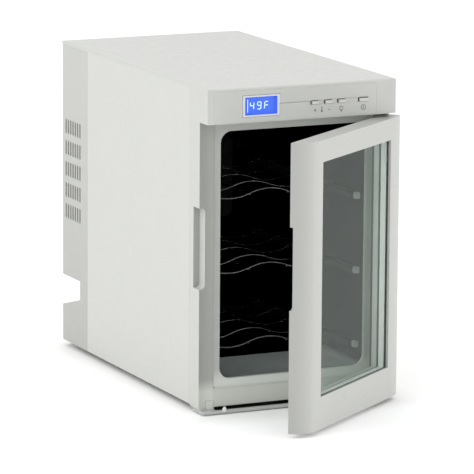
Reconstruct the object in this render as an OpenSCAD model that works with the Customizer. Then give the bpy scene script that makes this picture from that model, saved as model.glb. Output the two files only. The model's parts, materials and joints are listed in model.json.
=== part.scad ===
// Thermoelectric wine cooler with a right-hung glazed door, three wire racks
// and a control housing that overhangs the door.
// Millimetres. +Z is up, -Y is the front. The origin is on the floor, in the
// middle of the four feet. The door is drawn shut and then swung open.

/* [Cabinet] */
// Width of the cabinet
body_w = 280; // [230:1:340]
// Height from the floor to the top
body_h = 447; // [370:1:540]
// Depth from the frame face to the rear
body_d = 480; // [400:1:580]
// Gap under the cabinet
foot_h = 9; // [8:0.5:20]
// Radius of a foot
foot_r = 9; // [6:0.5:14]
// Front feet, back from the frame face
foot_front = 55; // [45:1:80]
// Rear feet, forward from the rear
foot_rear = 175; // [120:1:200]
// Feet, in from the cabinet side
foot_side = 22; // [18:1:40]
// Depth of the moulded front frame
frame_d = 31; // [26:1:50]
// Depth of the vented rear cover
cover_d = 94; // [88:1:120]
// Wall of the moulded parts
wall = 2.5; // [2:0.1:3]
// Thickness of the side sheets
sheet = 1.2; // [0.8:0.1:2]
// Thickness of the top panel
top_t = 3.5; // [3.2:0.1:5]
// Radius along the upper edges
edge_r = 3; // [1:0.1:3]

/* [Cavity] */
// Insulated side wall, cabinet side to cavity
side_t = 31; // [26:1:45]
// Cavity floor above the cabinet underside
floor_t = 37.5; // [33:0.5:60]
// Cavity ceiling below the top
head_t = 61.6; // [60:0.1:90]
// Insulated rear wall, cavity to rear cover
rear_t = 41; // [38:0.5:60]
// Corner radius of the cavity mouth
mouth_r = 16; // [8:1:24]
// Width of the surround face round the mouth
lip_w = 9; // [6:0.5:12]
// Depth of the surround throat
throat_d = 6; // [4:0.5:12]
// Thickness of the cavity liner
liner_t = 2; // [1.5:0.1:3]

/* [Control housing] */
// How far the housing stands out over the door
nose_out = 27; // [24:1:40]
// Height of the housing, with the top panel
nose_h = 47.5; // [44:0.5:60]
// Length of the bowed stretch at each end
nose_run = 24; // [10:1:40]
// How far the bow falls back at the end
nose_drop = 2.5; // [1:0.1:6]
// Travel of the push buttons
button_travel = 1; // [0.5:0.1:1.2]
// Clearance round each button
button_gap = 0.25; // [0.15:0.05:0.4]

/* [Door] */
// Opening angle shown
door_open = 37; // [0:1:110]
// Gap between the door's back and the frame
door_gap = 1.2; // [1:0.1:2]
// Gap over the door
door_top_gap = 4.9; // [2:0.1:8]
// Underside of the door above the floor
door_z0 = 6.2; // [6:0.1:9]
// Window edge to the free end
stile_free = 43.15; // [38:0.5:60]
// Window edge to the hinge end
stile_hinge = 33.7; // [26:0.5:50]
// Window edge to the door's top
rail_top = 29.4; // [20:0.5:45]
// Window edge to the door's bottom
rail_bottom = 44.1; // [30:0.5:60]
// Length of the rounded free end
round_run = 31.5; // [20:0.5:36]
// Hinge pin radius
pin_r = 2; // [1.5:0.1:2.2]
// Hinge axis in from the door's hinge end
pin_in = 4; // [3.8:0.1:6]
// Hinge axis forward of the door's back face
pin_fwd = 3.8; // [3.6:0.1:6]
// Radial running clearance of the pins
pin_gap = 0.05; // [0.02:0.01:0.1]
// Thickness of each glass pane
pane_t = 3; // [2:0.5:4]
// Air space between the panes
pane_space = 8; // [6:0.5:10]

/* [Racks] */
// Distance between bottle rests on a rack
bottle_pitch = 114; // [96:1:120]
// Height of the rack waves
wave_h = 11; // [6:0.5:14]
// Lowest rest above the cavity floor
rack_first = 23.5; // [22:0.5:60]
// Rack spacing
rack_pitch = 103.8; // [90:0.1:115]
// Front rack wire behind the frame face
rack_set = 78; // [64:1:90]
// Length of a rack
rack_len = 232; // [180:1:240]
// Radius of the rack wires
wire_r = 1.1; // [1:0.1:2]
// Radius of the rack side rails
rail_r = 2; // [1.5:0.1:2.5]
// Cross wires on each rack
wire_count = 5; // [4:1:6]

/* [Cooling] */
// Height of the module centre below the top
tec_down = 185; // [150:1:200]
// Side of the thermoelectric module
tec_w = 40; // [30:1:50]
// Side of the cold fan
cold_fan_w = 80; // [70:1:80]
// Side of the hot fan
hot_fan_w = 92; // [80:1:92]
// Height of the cord recess mouth above the floor
recess_z = 106; // [100:1:120]
// Height of the cord recess
recess_h = 27.3; // [26:0.5:34]
// Depth of the cord recess
recess_d = 67.5; // [50:0.5:70]

/* [Hidden] */
$fn = 64;
eps = 0.01;
skin = 0.5;             // overshoot of a cut past a face

// Colours
pale = [0.84, 0.84, 0.82];
pale_dark = [0.78, 0.78, 0.76];
black = [0.03, 0.03, 0.035];
metal = [0.75, 0.76, 0.78];
rubber = [0.08, 0.08, 0.08];

// Cabinet planes
half_w = body_w / 2;
foot_span = body_d - foot_front - foot_rear;
face_y = -(foot_front + foot_span / 2);
seam_y = face_y + frame_d;
rear_y = face_y + body_d;
box_y = rear_y - cover_d;
nose_y = face_y - nose_out;
under_z = foot_h;
top_z = body_h;
deck_z = top_z - top_t;
nose_z = top_z - nose_h;
seam = 0.5;             // shadow gap between the outer panels
edge_clear_r = 2;       // hinge-side front edge of the frame
post_t = 8;             // solid posts beside the mouth
scoop_r = 32;
scoop_d = 1.6;
relief_x = [2.6, 5.6, 9]; // hinge-side relief, out from the surround
relief_z = [304, 60];   // its foot and head, below the housing
relief_slope = [22, 16];
relief_d = 2.4;

// Cavity
cav_x = half_w - side_t;
cav_z0 = under_z + floor_t;
cav_z1 = top_z - head_t;
cav_y = box_y - rear_t;
lip_x = cav_x + lip_w;
lip_low = 11.5;         // surround face under the mouth
lip_high = 11;          // surround face over the mouth
lip_z0 = cav_z0 - lip_low;
lip_z1 = cav_z1 + lip_high;
throat_y = face_y + throat_d;

// Control housing
fascia_in = [8.5, 30.3]; // fascia, in from the housing's left and right ends
fascia_x0 = -half_w + fascia_in[0];
fascia_x1 = half_w - fascia_in[1];
fascia_z0 = nose_z + 1.1;
fascia_gap = 0.1;
fascia_back = nose_y + wall;
bezel_in = 41.5;        // bezel, from the fascia's left end
bezel_w = 55;
bezel_x = [fascia_x0 + bezel_in, fascia_x0 + bezel_in + bezel_w];
bezel_z = [nose_z + 7.5, nose_z + 37];
glass_in = [3, 2.1];    // bezel border, sideways and upright
bezel_gap = 0.45;
rim_x = inset(bezel_x, bezel_gap);
rim_z = inset(bezel_z, bezel_gap);
seat_in = 1.2;          // seat of the window and panel, in from the rim
screen_gap = 0.1;
screen_x = inset(rim_x, seat_in + screen_gap);
screen_z = inset(rim_z, seat_in + screen_gap);
button_z = [nose_z + 19.3, nose_z + 23.5];
button_over = 0.9;      // open gap over each button
button_notch = 2.2;     // open notch at each button's left end
button_x = [[-98.9, -87], [-78.8, -66.9], [-59, -46.6], [-27.7, -13]];
symbol_x = [-92.4, -71.3, -53.2, -20, -82.3];
symbol_z = nose_z + 11.1;
board_y = nose_y + 12;
board_t = 1.6;
boss_r = 3.2;
boss_pilot_r = 1.1;
screw_gap = 0.5;        // added to a pilot's radius for a clear hole
switch_w = 6;
switch_h = 3.2;
plunger_r = 1.7;
plunger_h = 1;
switch_gap = button_travel + 0.3;
stem_r = 1.8;
stem_y = board_y - switch_h - plunger_h - switch_gap;
wire_way_x = [-20, 20];
wire_way_z = [nose_z + 14, nose_z + 28];
board_x = [bezel_x[0] - 8, fascia_x1 - 4];
board_z = [nose_z + 5, deck_z - 4];
board_spots = [for (x = [board_x[0] + 4, board_x[1] - 4], z = [board_z[0] + 4, board_z[1] - 4]) [x, z]];
bracket_z = nose_z + 4;
bracket_t = 2;
bracket_reach = 22;     // bracket and its shelf, in from the hinge axis
bracket_out = 9;        // and forward of it
bracket_screws = [-16, -8];
bracket_screw_r = 1.2;
rivet_r = 2.7;          // upset head of the upper pin

// Door
door_x0 = -half_w;
door_x1 = half_w;
door_back = face_y - door_gap;
door_z1 = nose_z - door_top_gap;
door_front = nose_y;
win_x = [door_x0 + stile_free, door_x1 - stile_hinge];
win_z = [door_z0 + rail_bottom, door_z1 - rail_top];
hinge = [door_x1 - pin_in, door_back - pin_fwd];
door_face_t = 3.5;
plate_t = 3;
pane_in = 9;            // how far the panes run under the frame
pane1_y = door_front + door_face_t + 0.4;
pane2_y = pane1_y + pane_t + pane_space;
unit_back = pane2_y + pane_t;
gasket_w = 5;
gasket_x = cav_x + 6;
gasket_z = [cav_z0 - 6.5, cav_z1 + 5];
gasket_seat = 2;
gasket_gap = 0.1;
round_drop = door_back - door_front - 1.8;
round_r = (round_run * round_run + round_drop * round_drop) / (2 * round_drop);
hinge_run = 28;
hinge_drop = 3;
hinge_r = (hinge_run * hinge_run + hinge_drop * hinge_drop) / (2 * hinge_drop);
corner_r = 3;           // back edge that swings past the frame
corner_w = 10;
corner_h = 14;
notch_d = 4;
peg_x = -half_w + 34.2;
peg_y = face_y - 10;
peg_r = 3;
peg_top = 10.2;
grip_z = [nose_z - 227.5, nose_z - 116.5];
grip_x = 9;
grip_d = 19;

// Blank over the hinge hole of the other hand
blank_x = [-half_w + 11.2, -half_w + 22.9];
blank_top = 18;

// Lower rail and pins
rail_z = [0.8, 5.5];
rail_y = [face_y - 12, face_y + 22];
rail_mid = face_y - 6;  // back of the rail between its end pads
rail_tube = (rail_z[1] - rail_z[0]) / 2;
bush_r = 3;
bush_h = 10;

// Racks
wave_r = (pow(bottle_pitch / 4, 2) + pow(wave_h / 2, 2)) / wave_h;
rack_x = cav_x - 9;
rack_z = [for (i = [0:2]) cav_z0 + rack_first + i * rack_pitch];
rack_y0 = face_y + rack_set;
runner_w = 11;
runner_set = 16.5;      // front of the end caps, behind the frame face
cap_len = 6;
cap_w = 7.5;
runner_h = 9;
runner_gap = 0.3;
weld = 0.5;

// Lamp and sensor
lamp_half = 30;
lamp_y = face_y + 30;
lamp_d = 14;
sensor_x = cav_x - 30;
sensor_r = 2.4;
sensor_gap = 0.1;

// Cooling
tec_z = top_z - tec_down;
sensor_z = tec_z + 40;
cold_fan_d = 15;
hot_fan_d = 25;
fin_len = 28;
pocket_half = 52;
pocket_d = 22;
pocket_y = cav_y + pocket_d;
block_y = pocket_y + liner_t;
tec_t = 3.8;
tec_y = box_y - tec_t;
sink_y = box_y;
sink_base = 6;
cold_fan_y = cav_y - cold_fan_d;
hot_fan_y = sink_y + sink_base + fin_len;
recess_y = rear_y - recess_d;
recess_low = recess_z - 45;
inlet_x = 60;
inlet_z = recess_z - recess_h / 2;
inlet_w = 28;
inlet_h = 20;
inlet_gap = 0.2;
inlet_wall = 1.8;
blade_spots = [[inlet_x, inlet_z + 2.4], [inlet_x - 7, inlet_z - 2.4], [inlet_x + 7, inlet_z - 2.4]];
screw_spots = [for (x = [-half_w + 14, half_w - 14], z = [40, recess_z + 30, deck_z - 22]) [x, z]];
slot_w = 5;
slot_h = 21.6;
slot_pitch = 8.5;
row_pitch = 30.9;
vent_rows = 5;
vent_columns = 7;
vent_top = top_z - 111.3;
vent_y = rear_y - 70;

// A range of width w about a middle
function span(mid, w) = [mid - w / 2, mid + w / 2];

// A range drawn in by t at both ends
function inset(r, t) = [r[0] + t, r[1] - t];

// Piece of the wave above its rest, at distance x from the centre crest
function fold(x) = abs(x - bottle_pitch * round(x / bottle_pitch));
function crest(a) = wave_h - wave_r + sqrt(wave_r * wave_r - a * a);
function rest(b) = wave_r - sqrt(wave_r * wave_r - b * b);
function wave(x) = fold(x) < bottle_pitch / 4 ? crest(fold(x)) : rest(bottle_pitch / 2 - fold(x));
rail_lift = wave(rack_x);
runner_top = rail_lift - rail_r - runner_gap;

// A box between two corners given as ranges
module block(x, y, z) {
    translate([x[0], y[0], z[0]]) cube([x[1] - x[0], y[1] - y[0], z[1] - z[0]]);
}

// A flat drawing in x and z, thick from y0 to y1
module along_y(y0, y1) {
    translate([0, y1, 0]) rotate([90, 0, 0]) linear_extrude(y1 - y0) children();
}

// A flat drawing in y and z, thick from x0 to x1
module along_x(x0, x1) {
    translate([x0, 0, 0]) rotate([90, 0, 90]) linear_extrude(x1 - x0) children();
}

// A flat drawing in x and y, thick from z0 to z1
module along_z(z0, z1) {
    translate([0, 0, z0]) linear_extrude(z1 - z0) children();
}

// A flat rectangle between two ranges
module plate(x, z) {
    translate([x[0], z[0]]) square([x[1] - x[0], z[1] - z[0]]);
}

// A flat rectangle with round corners
module soft_plate(x, z, r) {
    plate([x[0] + r, x[1] - r], z);
    plate(x, [z[0] + r, z[1] - r]);
    for (i = [0, 1], j = [0, 1])
        translate([x[i] + (i ? -r : r), z[j] + (j ? -r : r)]) circle(r = r);
}

// A round bar along y
module bar_y(x, z, r, y0, y1) {
    translate([x, y1, z]) rotate([90, 0, 0]) cylinder(r = r, h = y1 - y0);
}

module both_sides() {
    children();
    mirror([1, 0, 0]) children();
}

// Plan of the housing and top panel with its bowed front ends, drawn in by t
module nose_plan(t, back) {
    bow = (nose_run * nose_run + nose_drop * nose_drop) / (2 * nose_drop);
    run_x = half_w - nose_run;
    plate([-run_x, run_x], [nose_y + t, back]);
    for (s = [-1, 1]) intersection() {
        translate([s * run_x, nose_y + bow]) circle(r = bow - t, $fn = 240);
        plate(s < 0 ? [-half_w + t, -run_x] : [run_x, half_w - t], [nose_y, back]);
    }
    difference() {
        plate([-half_w + t, half_w - t], [nose_y + nose_drop + t + 2, back]);
        plate([-run_x, run_x], [nose_y, back]);
    }
}

// Plan of the door, drawn in by t, as far back as y = back
module door_plan(t, back) {
    x0 = door_x0 + round_run;
    x1 = door_x1 - hinge_run;
    plate([x0, x1], [door_front + t, back]);
    intersection() {
        translate([x0, door_front + round_r]) circle(r = round_r - t, $fn = 120);
        plate([door_x0 + t, x0], [door_front, back]);
    }
    intersection() {
        translate([x1, door_front + hinge_r]) circle(r = hinge_r - t, $fn = 360);
        plate([x1, door_x1 - t], [door_front, back]);
        union() {
            plate([x1, door_x1], [door_front, door_back - corner_r]);
            plate([x1, door_x1 - corner_r], [door_front, door_back]);
            translate([door_x1 - corner_r, door_back - corner_r]) circle(r = corner_r);
        }
    }
}

// Swings what is drawn shut to the opening shown
module swung() {
    translate([hinge[0], hinge[1], 0]) rotate([0, 0, door_open])
        translate([-hinge[0], -hinge[1], 0]) children();
}

module grip_notch(grow) {
    soft_plate([-half_w - 20, -half_w + grip_x + grow], [grip_z[0] - grow, grip_z[1] + grow], 6);
}

module front_frame() {
    color(pale_dark) difference() {
        union() {
            along_y(face_y, seam_y) difference() {
                plate([-half_w, half_w], [under_z, deck_z]);
                plate([-half_w + wall, half_w - wall], [under_z + wall, deck_z - wall]);
            }
            along_y(face_y, face_y + wall) plate([-half_w, half_w], [under_z, deck_z]);
            along_y(face_y, throat_y) difference() {
                plate([-lip_x - wall, lip_x + wall], [lip_z0 - wall, min(lip_z1 + wall, deck_z)]);
                plate([-lip_x, lip_x], [lip_z0, lip_z1]);
            }
            both_sides() along_y(face_y, face_y + post_t) plate([lip_x, half_w], [under_z, nose_z]);
            both_sides() block([lip_x - 1, half_w - 2], [face_y, seam_y], [rail_z[1], under_z + 1]);
            along_y(face_y, face_y + grip_d + wall) intersection() {
                grip_notch(wall);
                plate([-half_w, 0], [under_z, nose_z]);
            }
            difference() {
                along_z(nose_z, deck_z) nose_plan(0, face_y + 1);
                along_z(nose_z + wall, deck_z + skin) nose_plan(wall, face_y);
            }
            block([hinge[0] - bracket_reach - 1, half_w - 1], [hinge[1] - bracket_out, face_y + 1],
                  [nose_z, bracket_z]);
            for (p = board_spots) bar_y(p[0], p[1], boss_r, board_y + board_t, face_y + 1);
        }
        for (p = board_spots) bar_y(p[0], p[1], boss_pilot_r, board_y, face_y - 3);
        // mouth and the stepped seat of its surround
        along_y(face_y - skin, throat_y + skin) plate([-lip_x, lip_x], [lip_z0, lip_z1]);
        // scooped bands beside the mouth
        both_sides() along_z(rail_z[1] - skin, nose_z)
            translate([(half_w + lip_x) / 2, face_y + scoop_d - scoop_r])
                circle(r = scoop_r, $fn = 120);
        // shallow hinge-side relief with sloped ends
        along_y(face_y - skin, face_y + relief_d) translate([lip_x, nose_z])
            polygon([[relief_x[0], -relief_z[1] - relief_slope[1]], [relief_x[1], -relief_z[1]],
                     [relief_x[2], -relief_z[1]], [relief_x[2], -relief_z[0]],
                     [relief_x[1], -relief_z[0]], [relief_x[0], -relief_z[0] + relief_slope[0]]]);
        along_y(face_y - skin, face_y + grip_d) grip_notch(0);
        // seat of the blank over the unused hinge hole
        block(blank_x, [face_y - skin, face_y + 5], [rail_z[1] - skin, blank_top]);
        // opening for the fascia, and the wire way behind it
        block([fascia_x0, fascia_x1], [nose_y - skin, fascia_back + 0.05], [fascia_z0, deck_z + skin]);
        block(wire_way_x, [face_y - skin, face_y + wall + skin], wire_way_z);
        translate([hinge[0], hinge[1], nose_z - skin]) cylinder(r = pin_r + 0.02, h = 6);
        for (x = bracket_screws) translate([hinge[0] + x, hinge[1] - 5, nose_z + 1])
            cylinder(r = bracket_screw_r, h = 6);
        // hinge-side edge, rounded so that the open door's corner clears it
        difference() {
            block([half_w - edge_clear_r, half_w + 1], [face_y - 1, face_y + edge_clear_r],
                  [rail_z[1] - skin, nose_z]);
            translate([half_w - edge_clear_r, face_y + edge_clear_r, 0])
                cylinder(r = edge_clear_r, h = nose_z);
        }
        // pocket for the bracket's end and the pin's head
        block([hinge[0], hinge[0] + rivet_r + 0.2], [hinge[1] - bracket_out - 0.2, face_y],
              [bracket_z, bracket_z + 2 * bracket_t]);
    }
}

module mouth_surround() {
    gap = 0.15;
    x = lip_x - gap;
    z = [lip_z0 + gap, lip_z1 - gap];
    color(pale_dark) union() {
        along_y(face_y + 0.5, face_y + 2.5) difference() {
            soft_plate([-x, x], z, 3);
            soft_plate([-cav_x, cav_x], [cav_z0, cav_z1], mouth_r);
        }
        along_y(face_y - 0.4, face_y + 1) difference() {
            soft_plate([-x, x], z, 3);
            soft_plate([-x + 1.1, x - 1.1], [z[0] + 1.1, z[1] - 1.1], 2);
        }
        along_y(face_y + 1, throat_y) difference() {
            soft_plate([-cav_x - 2, cav_x + 2], [cav_z0 - 2, cav_z1 + 2], mouth_r + 2);
            soft_plate([-cav_x, cav_x], [cav_z0, cav_z1], mouth_r);
        }
    }
}

module top_panel() {
    color(pale) intersection() {
        along_y(nose_y, rear_y) soft_plate([-half_w, half_w], [deck_z - 20, top_z], edge_r);
        along_x(-half_w, half_w) soft_plate([nose_y, rear_y], [deck_z - 20, top_z], edge_r);
        along_z(deck_z, top_z) nose_plan(0, rear_y);
    }
}

module side_panel() {
    block([half_w - sheet, half_w], [seam_y + seam, box_y - seam], [under_z, deck_z]);
}

module left_side_panel() {
    color(pale) mirror([1, 0, 0]) side_panel();
}

module right_side_panel() {
    color(pale) side_panel();
}

module base_pan() {
    color(pale_dark) difference() {
        union() {
            block([-half_w + sheet, half_w - sheet], [seam_y, box_y - 2], [under_z, under_z + 2]);
            both_sides() for (y = [face_y + foot_front, rear_y - foot_rear])
                translate([half_w - foot_side, y, under_z]) cylinder(r = foot_r + 3, h = 3);
        }
        for (i = [0:5]) block([-60, 60], [seam_y + 40 + i * 14, seam_y + 44 + i * 14],
                              [under_z - skin, under_z + 0.6]);
    }
}

module rear_bulkhead() {
    hole = tec_w / 2 + 8;
    color(metal) difference() {
        block([-half_w + sheet, half_w - sheet], [box_y - 2, box_y], [under_z + wall, deck_z]);
        block([-hole, hole], [box_y - 3, box_y + 1], [tec_z - hole, tec_z + hole]);
        for (x = [-50, 50]) bar_y(x, tec_z - 60, 3, box_y - 3, box_y + 1);
    }
}

// Side view of the rear cover, drawn in by t
module cover_side(t) {
    difference() {
        soft_plate([box_y - 20, rear_y - t], [under_z + t, deck_z - t], 2);
        polygon([[recess_y - t, recess_z - recess_h - t * 1.1], [recess_y - t, recess_z + t],
                 [rear_y + 9, recess_z + t], [rear_y + 9, recess_low - 3 - t]]);
        polygon([[rear_y - 8, under_z - 1 + t], [rear_y + 2, under_z - 1 + t],
                 [rear_y + 2, under_z + 3 + t]]);
    }
}

module side_vents() {
    for (r = [0:vent_rows - 1], c = [0:vent_columns - 1]) {
        y = vent_y + c * slot_pitch;
        z = vent_top - r * row_pitch;
        translate([y, z - slot_h + slot_w / 2]) square([slot_w, slot_h - slot_w]);
        for (e = [-slot_h + slot_w / 2, -slot_w / 2])
            translate([y + slot_w / 2, z + e]) circle(r = slot_w / 2, $fn = 24);
    }
}

module fan_grille(r, pitch, width) {
    n = floor(r / pitch);
    intersection() {
        circle(r = r, $fn = 96);
        for (i = [-n:n]) translate([-r, i * pitch - width / 2]) square([2 * r, width]);
        difference() {
            square(4 * r, center = true);
            for (x = [-r / 3, r / 3]) translate([x - 1.5, -r]) square([3, 2 * r]);
        }
    }
}

module rear_cover() {
    color(pale) difference() {
        intersection() {
            along_x(-half_w, half_w) cover_side(0);
            along_z(under_z, deck_z) soft_plate([-half_w, half_w], [box_y - 40, rear_y], 5);
            block([-half_w, half_w], [box_y, rear_y], [under_z, deck_z]);
        }
        intersection() {
            along_x(-half_w + wall, half_w - wall) cover_side(wall);
            block([-half_w, half_w], [box_y - skin, rear_y], [under_z, deck_z]);
        }
        along_x(-half_w - 1, half_w + 1) side_vents();
        along_y(rear_y - wall - 1, rear_y + 1) translate([0, tec_z]) fan_grille(hot_fan_w / 2 - 3, 7, 4);
        along_y(rear_y - wall - 1, rear_y + 1) for (z = [recess_z + 34, deck_z - 40], i = [-4:4])
            translate([i * 16 - 2, z]) square([slot_w, slot_h]);
        block(span(inlet_x, inlet_w + 2 * inlet_gap), [recess_y - wall - 2, recess_y + 1],
              span(inlet_z, inlet_h + 2 * inlet_gap));
        for (p = screw_spots) bar_y(p[0], p[1], 1.6, rear_y - wall - 1, rear_y + 1);
    }
}

module rear_cover_screws() {
    color(metal) for (p = screw_spots) difference() {
        union() {
            bar_y(p[0], p[1], 3, rear_y, rear_y + 1.6);
            bar_y(p[0], p[1], 1.5, rear_y - 12, rear_y + 0.5);
        }
        for (a = [0, 90]) translate([p[0], rear_y + 1.6, p[1]]) rotate([0, a, 0])
            cube([3.6, 2, 0.7], center = true);
    }
}

module foam_insulation() {
    inner = lip_x + wall;
    color([0.9, 0.85, 0.65]) difference() {
        union() {
            block([-half_w + sheet, half_w - sheet], [seam_y, box_y - 2], [under_z + 3, deck_z]);
            block([-half_w + wall, half_w - wall], [face_y + post_t, seam_y],
                  [under_z + wall, deck_z - wall]);
        }
        // cavity and its surround
        block([-cav_x - liner_t, cav_x + liner_t], [face_y, cav_y + liner_t],
              [cav_z0 - liner_t, cav_z1 + liner_t]);
        block([-inner, inner], [face_y, throat_y + 3], [lip_z0 - wall, lip_z1 + wall]);
        // cold sink pocket, block and module
        block([-pocket_half - liner_t, pocket_half + liner_t], [cav_y, block_y],
              [tec_z - pocket_half - liner_t, tec_z + pocket_half + liner_t]);
        block([-tec_w / 2 - 2, tec_w / 2 + 2], [block_y - 1, box_y + 1],
              [tec_z - tec_w / 2 - 2, tec_z + tec_w / 2 + 2]);
        bar_y(sensor_x, sensor_z, sensor_r + sensor_gap, cav_y, cav_y + 7);
        // grip pocket and the way for the control wires
        block([-half_w, -half_w + grip_x + wall], [face_y, face_y + grip_d + wall + 0.5],
              [grip_z[0] - wall, grip_z[1] + wall]);
        block(wire_way_x, [face_y, seam_y], wire_way_z);
        block([-lamp_half - 1, lamp_half + 1], [lamp_y - 1, lamp_y + lamp_d + 1],
              [cav_z1, cav_z1 + 7]);
    }
}

module cavity_liner() {
    hole = tec_w / 2;
    color(black) difference() {
        union() {
            along_y(throat_y, cav_y + liner_t)
                soft_plate([-cav_x - liner_t, cav_x + liner_t],
                           [cav_z0 - liner_t, cav_z1 + liner_t], mouth_r + liner_t);
            block([-pocket_half - liner_t, pocket_half + liner_t], [cav_y, block_y],
                  [tec_z - pocket_half - liner_t, tec_z + pocket_half + liner_t]);
        }
        along_y(throat_y - skin, cav_y) soft_plate([-cav_x, cav_x], [cav_z0, cav_z1], mouth_r);
        block([-pocket_half, pocket_half], [cav_y - 1, pocket_y],
              [tec_z - pocket_half, tec_z + pocket_half]);
        block([-hole, hole], [pocket_y - 1, block_y + 1], [tec_z - hole, tec_z + hole]);
        block([-lamp_half, lamp_half], [lamp_y, lamp_y + lamp_d], [cav_z1 - 1, cav_z1 + 3]);
        bar_y(sensor_x, sensor_z, sensor_r + sensor_gap, cav_y - 1, cav_y + 3);
    }
}

module runner_side(i) {
    top = rack_z[i] + runner_top;
    y = [face_y + runner_set + cap_len, cav_y - 6];
    difference() {
        along_y(y[0], y[1]) plate([cav_x - runner_w, cav_x], [top - runner_h, top]);
        along_y(y[0] + 6, y[1] - 10)
            plate([cav_x - runner_w + 3, cav_x - 3], [top - runner_h - 1, top - 3]);
    }
}

module rack_runners() {
    color(black) both_sides() for (i = [0:2]) runner_side(i);
}

module runner_end_caps() {
    color([0.62, 0.64, 0.63]) both_sides() for (i = [0:2]) {
        top = rack_z[i] + runner_top;
        along_y(face_y + runner_set, face_y + runner_set + cap_len)
            soft_plate([cav_x - cap_w, cav_x], [top - runner_h, top], 2);
    }
}

// A wire bent to the rack's wave, swept as rings along x
module wave_wire(half) {
    sides = 8;
    steps = 32;
    xs = [for (i = [0:steps]) -half + 2 * half * i / steps];
    pts = [for (x = xs) let (
               d = 0.5,
               a = atan2(wave(x + d) - wave(x - d), 2 * d))
           for (k = [0:sides - 1]) let (u = 360 * k / sides)
               [x - wire_r * cos(u) * sin(a), wire_r * sin(u), wave(x) + wire_r * cos(u) * cos(a)]];
    walls = [for (i = [0:steps - 1], k = [0:sides - 1]) let (
                 n = (k + 1) % sides)
             [i * sides + k, i * sides + n, (i + 1) * sides + n, (i + 1) * sides + k]];
    first = [[for (k = [0:sides - 1]) sides - 1 - k]];
    last = [[for (k = [0:sides - 1]) steps * sides + k]];
    polyhedron(points = pts, faces = concat(walls, first, last));
}

module rack(i) {
    brace_x = bottle_pitch / 4;
    color(metal) translate([0, rack_y0, rack_z[i]]) union() {
        for (k = [0:wire_count - 1])
            translate([0, wire_r + k * (rack_len - 2 * wire_r) / (wire_count - 1), 0]) wave_wire(rack_x);
        both_sides() {
            bar_y(rack_x, rail_lift, rail_r, 0, rack_len);
            bar_y(brace_x, wave(brace_x) - 2 * wire_r + weld, wire_r, 0.8, rack_len - 0.8);
        }
    }
}

module upper_rack() { rack(2); }
module middle_rack() { rack(1); }
module lower_rack() { rack(0); }

module control_fascia() {
    gap = fascia_gap;
    color(pale) difference() {
        intersection() {
            along_z(fascia_z0 + gap, deck_z - gap) difference() {
                nose_plan(0, face_y);
                nose_plan(wall, face_y);
            }
            block([fascia_x0 + gap, fascia_x1 - gap], [nose_y - 1, fascia_back], [nose_z, top_z]);
        }
        block([bezel_x[0], bezel_x[1]], [nose_y - 1, fascia_back + 1], [bezel_z[0], bezel_z[1]]);
        // tapering shadow groove that the buttons sit under
        along_y(nose_y - 1, nose_y + 1.2)
            polygon([[bezel_x[1], button_z[1] + 0.6], [fascia_x1 - 12.6, button_z[1] + 2.6],
                     [fascia_x1 - 12.6, button_z[0] - 0.5],
                     [button_x[0][0] + fascia_x1 - 3, button_z[0] - 0.5],
                     [button_x[0][0] + fascia_x1 - 3, button_z[1] - 0.2], [bezel_x[1], button_z[1] - 0.2]]);
        for (b = button_x) along_y(nose_y - 1, fascia_back + 1)
            plate([fascia_x1 + b[0], fascia_x1 + b[1] + button_gap],
                  [button_z[0] - button_gap, button_z[1] + button_over]);
    }
}

module display_bezel() {
    color([0.93, 0.94, 0.95]) difference() {
        along_y(nose_y - 0.4, board_y - 4) soft_plate(rim_x, rim_z, 1);
        along_y(nose_y - 1, board_y) plate(inset(rim_x, glass_in[0]), inset(rim_z, glass_in[1]));
        along_y(nose_y + 2, board_y) plate(inset(rim_x, seat_in), inset(rim_z, seat_in));
    }
}

module display_panel() {
    color([0.2, 0.45, 0.95]) block(screen_x, [nose_y + 3.2, nose_y + 6], screen_z);
}

module display_window() {
    color([0.8, 0.9, 1, 0.4]) union() {
        block(screen_x, [nose_y + 2, nose_y + 3.2], screen_z);
        block(inset(rim_x, glass_in[0] + screen_gap), [nose_y + 0.4, nose_y + 2.5],
              inset(rim_z, glass_in[1] + screen_gap));
    }
}

module control_board() {
    color([0.05, 0.35, 0.15]) difference() {
        block(board_x, [board_y, board_y + board_t], board_z);
        for (p = board_spots)
            bar_y(p[0], p[1], boss_pilot_r + screw_gap, board_y - 1, board_y + 3);
    }
}

module tact_switches() {
    color(black) for (i = [0:3]) {
        x = button_mid(i)[0];
        z = button_mid(i)[1];
        block([x - switch_w / 2, x + switch_w / 2], [board_y - switch_h, board_y],
              [z - switch_w / 2, z + switch_w / 2]);
        bar_y(x, z, plunger_r, board_y - switch_h - plunger_h, board_y - switch_h + 0.2);
    }
}

// Middle of button i, where its stem meets its switch
function button_mid(i) = [fascia_x1 + (button_x[i][0] + button_notch + button_x[i][1]) / 2,
                          (button_z[0] + button_z[1]) / 2];

module push_button(i) {
    x = [fascia_x1 + button_x[i][0] + button_notch, fascia_x1 + button_x[i][1]];
    z = button_z;
    flange = button_gap + 0.65;
    color([0.9, 0.91, 0.9]) union() {
        along_y(nose_y - 0.9, fascia_back + 0.6) soft_plate(x, z, 0.8);
        block([x[0], x[1] + flange], [fascia_back + 0.3, fascia_back + 1.3], [z[0] - flange, z[1]]);
        bar_y(button_mid(i)[0], button_mid(i)[1], stem_r, fascia_back + 1, stem_y);
    }
}

module temp_up_button() { push_button(0); }
module temp_down_button() { push_button(1); }
module light_button() { push_button(2); }
module power_button() { push_button(3); }

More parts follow.
